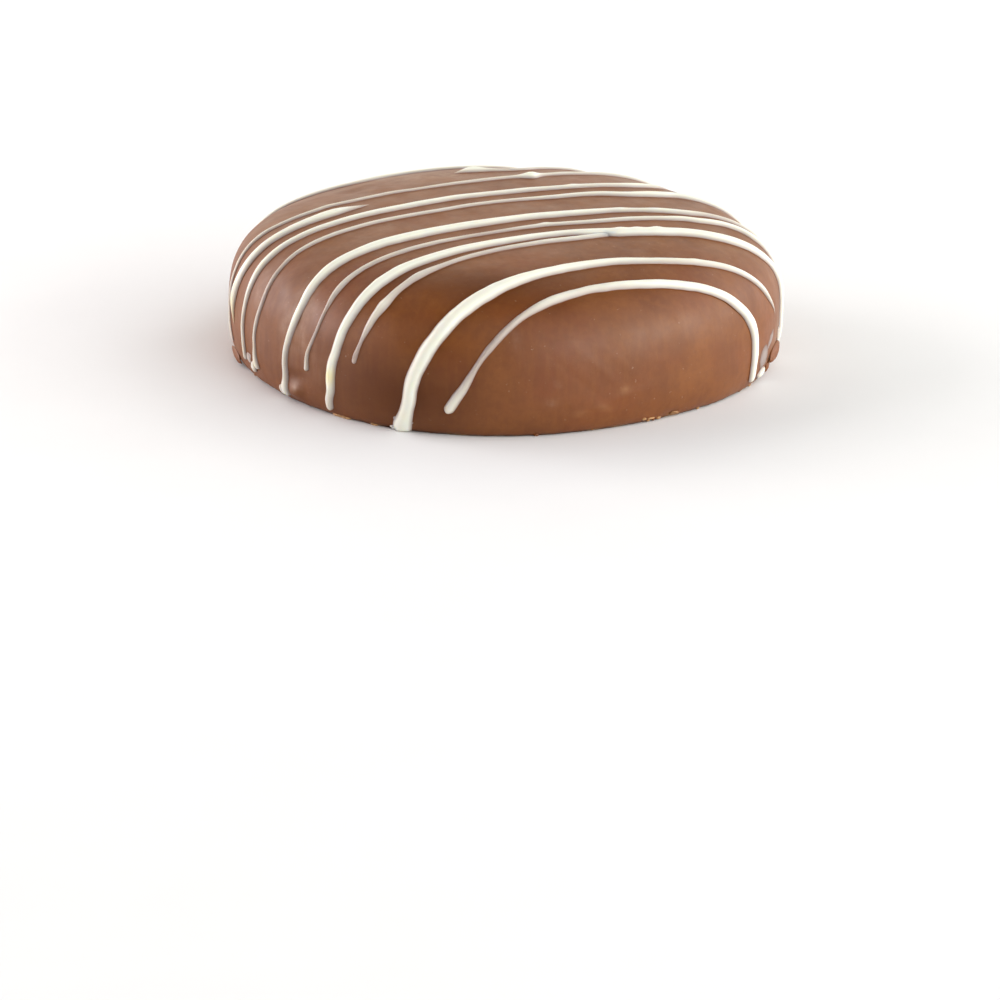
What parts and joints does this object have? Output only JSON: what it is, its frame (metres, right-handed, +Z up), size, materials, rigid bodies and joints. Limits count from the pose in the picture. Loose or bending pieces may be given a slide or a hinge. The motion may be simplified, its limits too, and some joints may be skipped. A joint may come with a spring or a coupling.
{
  "type": "chocolate-dipped shortbread biscuit",
  "caption": "Round domed shortbread biscuit dipped whole in milk chocolate, with white chocolate drizzle poured across the top and down the side.",
  "frame": {"origin": "middle of the flat underside", "axes": "+Z up out of the domed top, -Y towards the side with the two widest-spaced strands, which faces the viewer"},
  "size_m": [0.0715, 0.0716, 0.0197],
  "materials": {
    "milk_chocolate": "satin milk chocolate coating with faint bloom, mottling and pinholes",
    "white_chocolate": "smooth cream-white chocolate drizzle with a soft sheen"
  },
  "bodies": {
    "root": {"dipped_shortbread": "milk_chocolate"}
  },
  "joints": []
}
